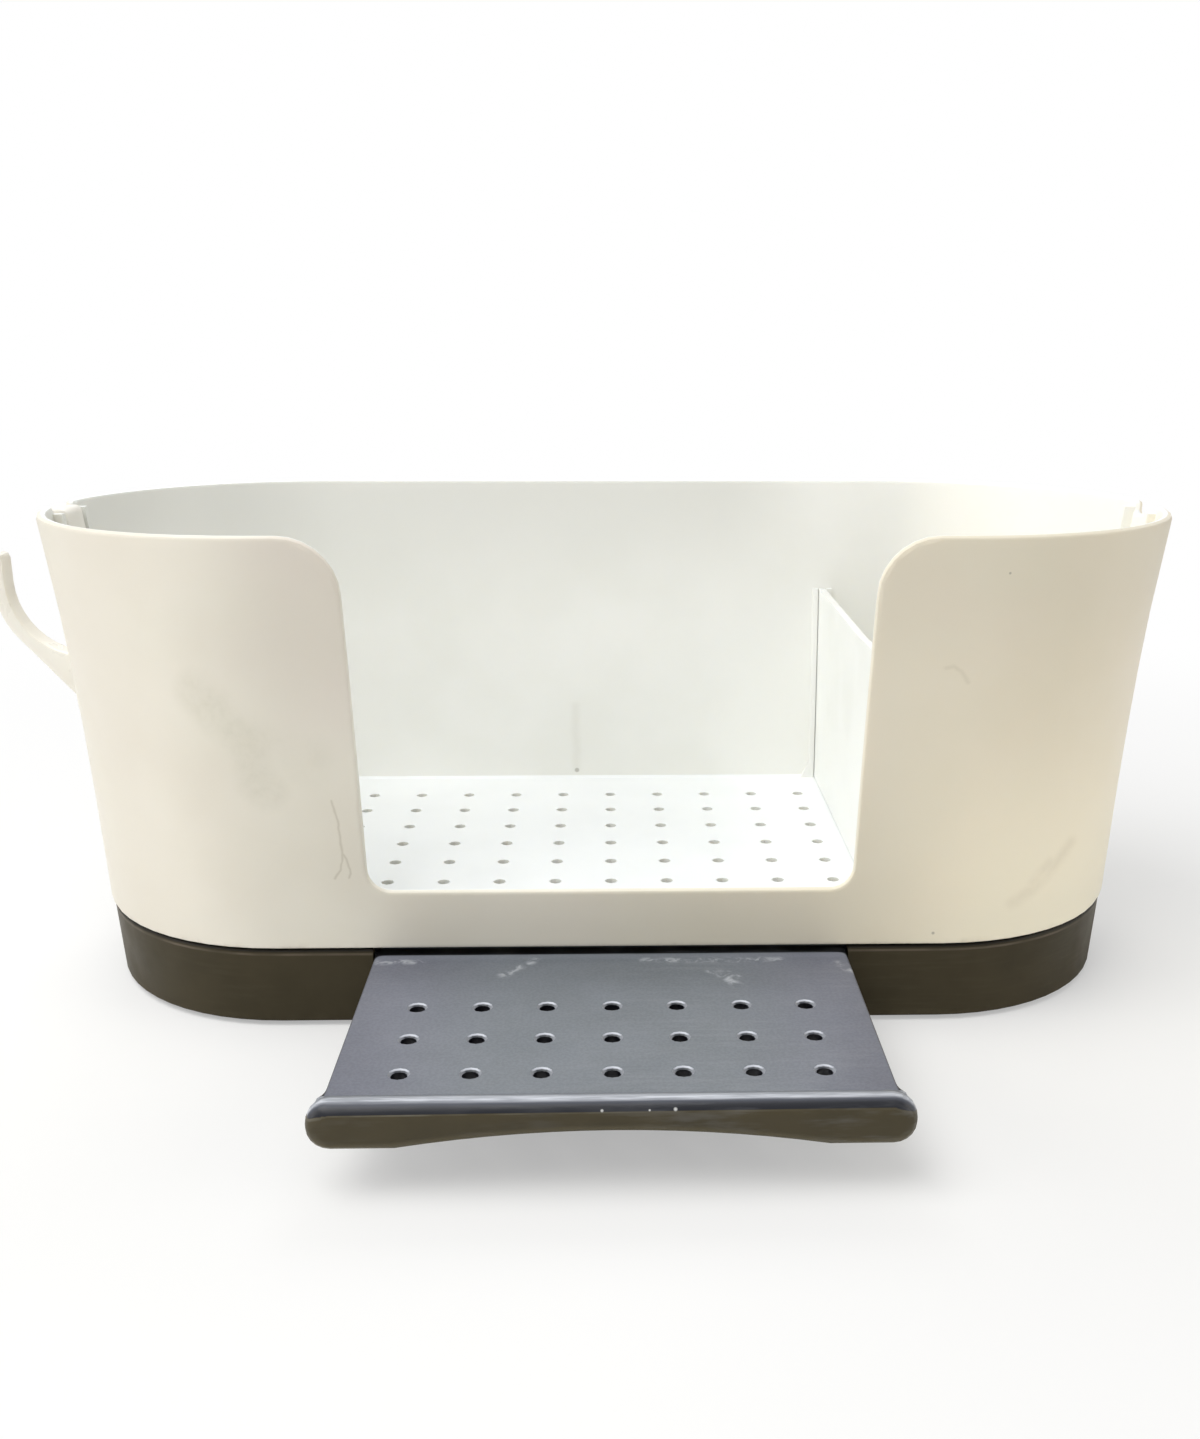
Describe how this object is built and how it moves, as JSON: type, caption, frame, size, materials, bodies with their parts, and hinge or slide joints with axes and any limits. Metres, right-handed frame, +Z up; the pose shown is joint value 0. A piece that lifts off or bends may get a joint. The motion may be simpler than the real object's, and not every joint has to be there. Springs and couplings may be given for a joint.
{
  "type": "kitchen sink organizer",
  "caption": "Oval open-front sink caddy with a drained floor and removable divider, on a base with a pull-out drained tray, and a cloth hook at one end.",
  "frame": {"origin": "centre of the base's flat underside; the four feet stand 1.2 mm below it", "axes": "+X along the long side towards the divider's end, -Y out of the open front where the tray is pulled, +Z up"},
  "size_m": [0.3005, 0.188, 0.1211],
  "materials": {
    "warm_white_plastic": "warm off-white, fine satin, moulded",
    "divider_plastic": "white, satin, moulded",
    "hook_plastic": "white, soft gloss, moulded",
    "charcoal_plastic": "warm dark grey, satin",
    "tray_plastic": "cool dark grey, satin",
    "foot_rubber": "black, matt"
  },
  "bodies": {
    "base": {"base_housing": "charcoal_plastic", "foot_front_left": "foot_rubber", "foot_front_right": "foot_rubber", "foot_rear_left": "foot_rubber", "foot_rear_right": "foot_rubber"},
    "tray": {"pull_out_tray": "tray_plastic"},
    "tub": {"caddy_tub": "warm_white_plastic"},
    "divider": {"divider": "divider_plastic"},
    "hook": {"side_hook": "hook_plastic"}
  },
  "joints": [
    {"name": "tray_slide", "type": "slide", "parent": "base", "child": "tray", "axis": [0, 1, 0], "range_m": [0, 0.0648]},
    {"name": "tub_lift", "type": "slide", "parent": "base", "child": "tub", "axis": [0, 0, 1], "range_m": [0, 0.04]},
    {"name": "divider_lift", "type": "slide", "parent": "tub", "child": "divider", "axis": [0, 0, 1], "range_m": [0, 0.06]},
    {"name": "hook_lift", "type": "slide", "parent": "tub", "child": "hook", "axis": [-0.1265, 0, 0.992], "range_m": [0, 0.03]}
  ]
}
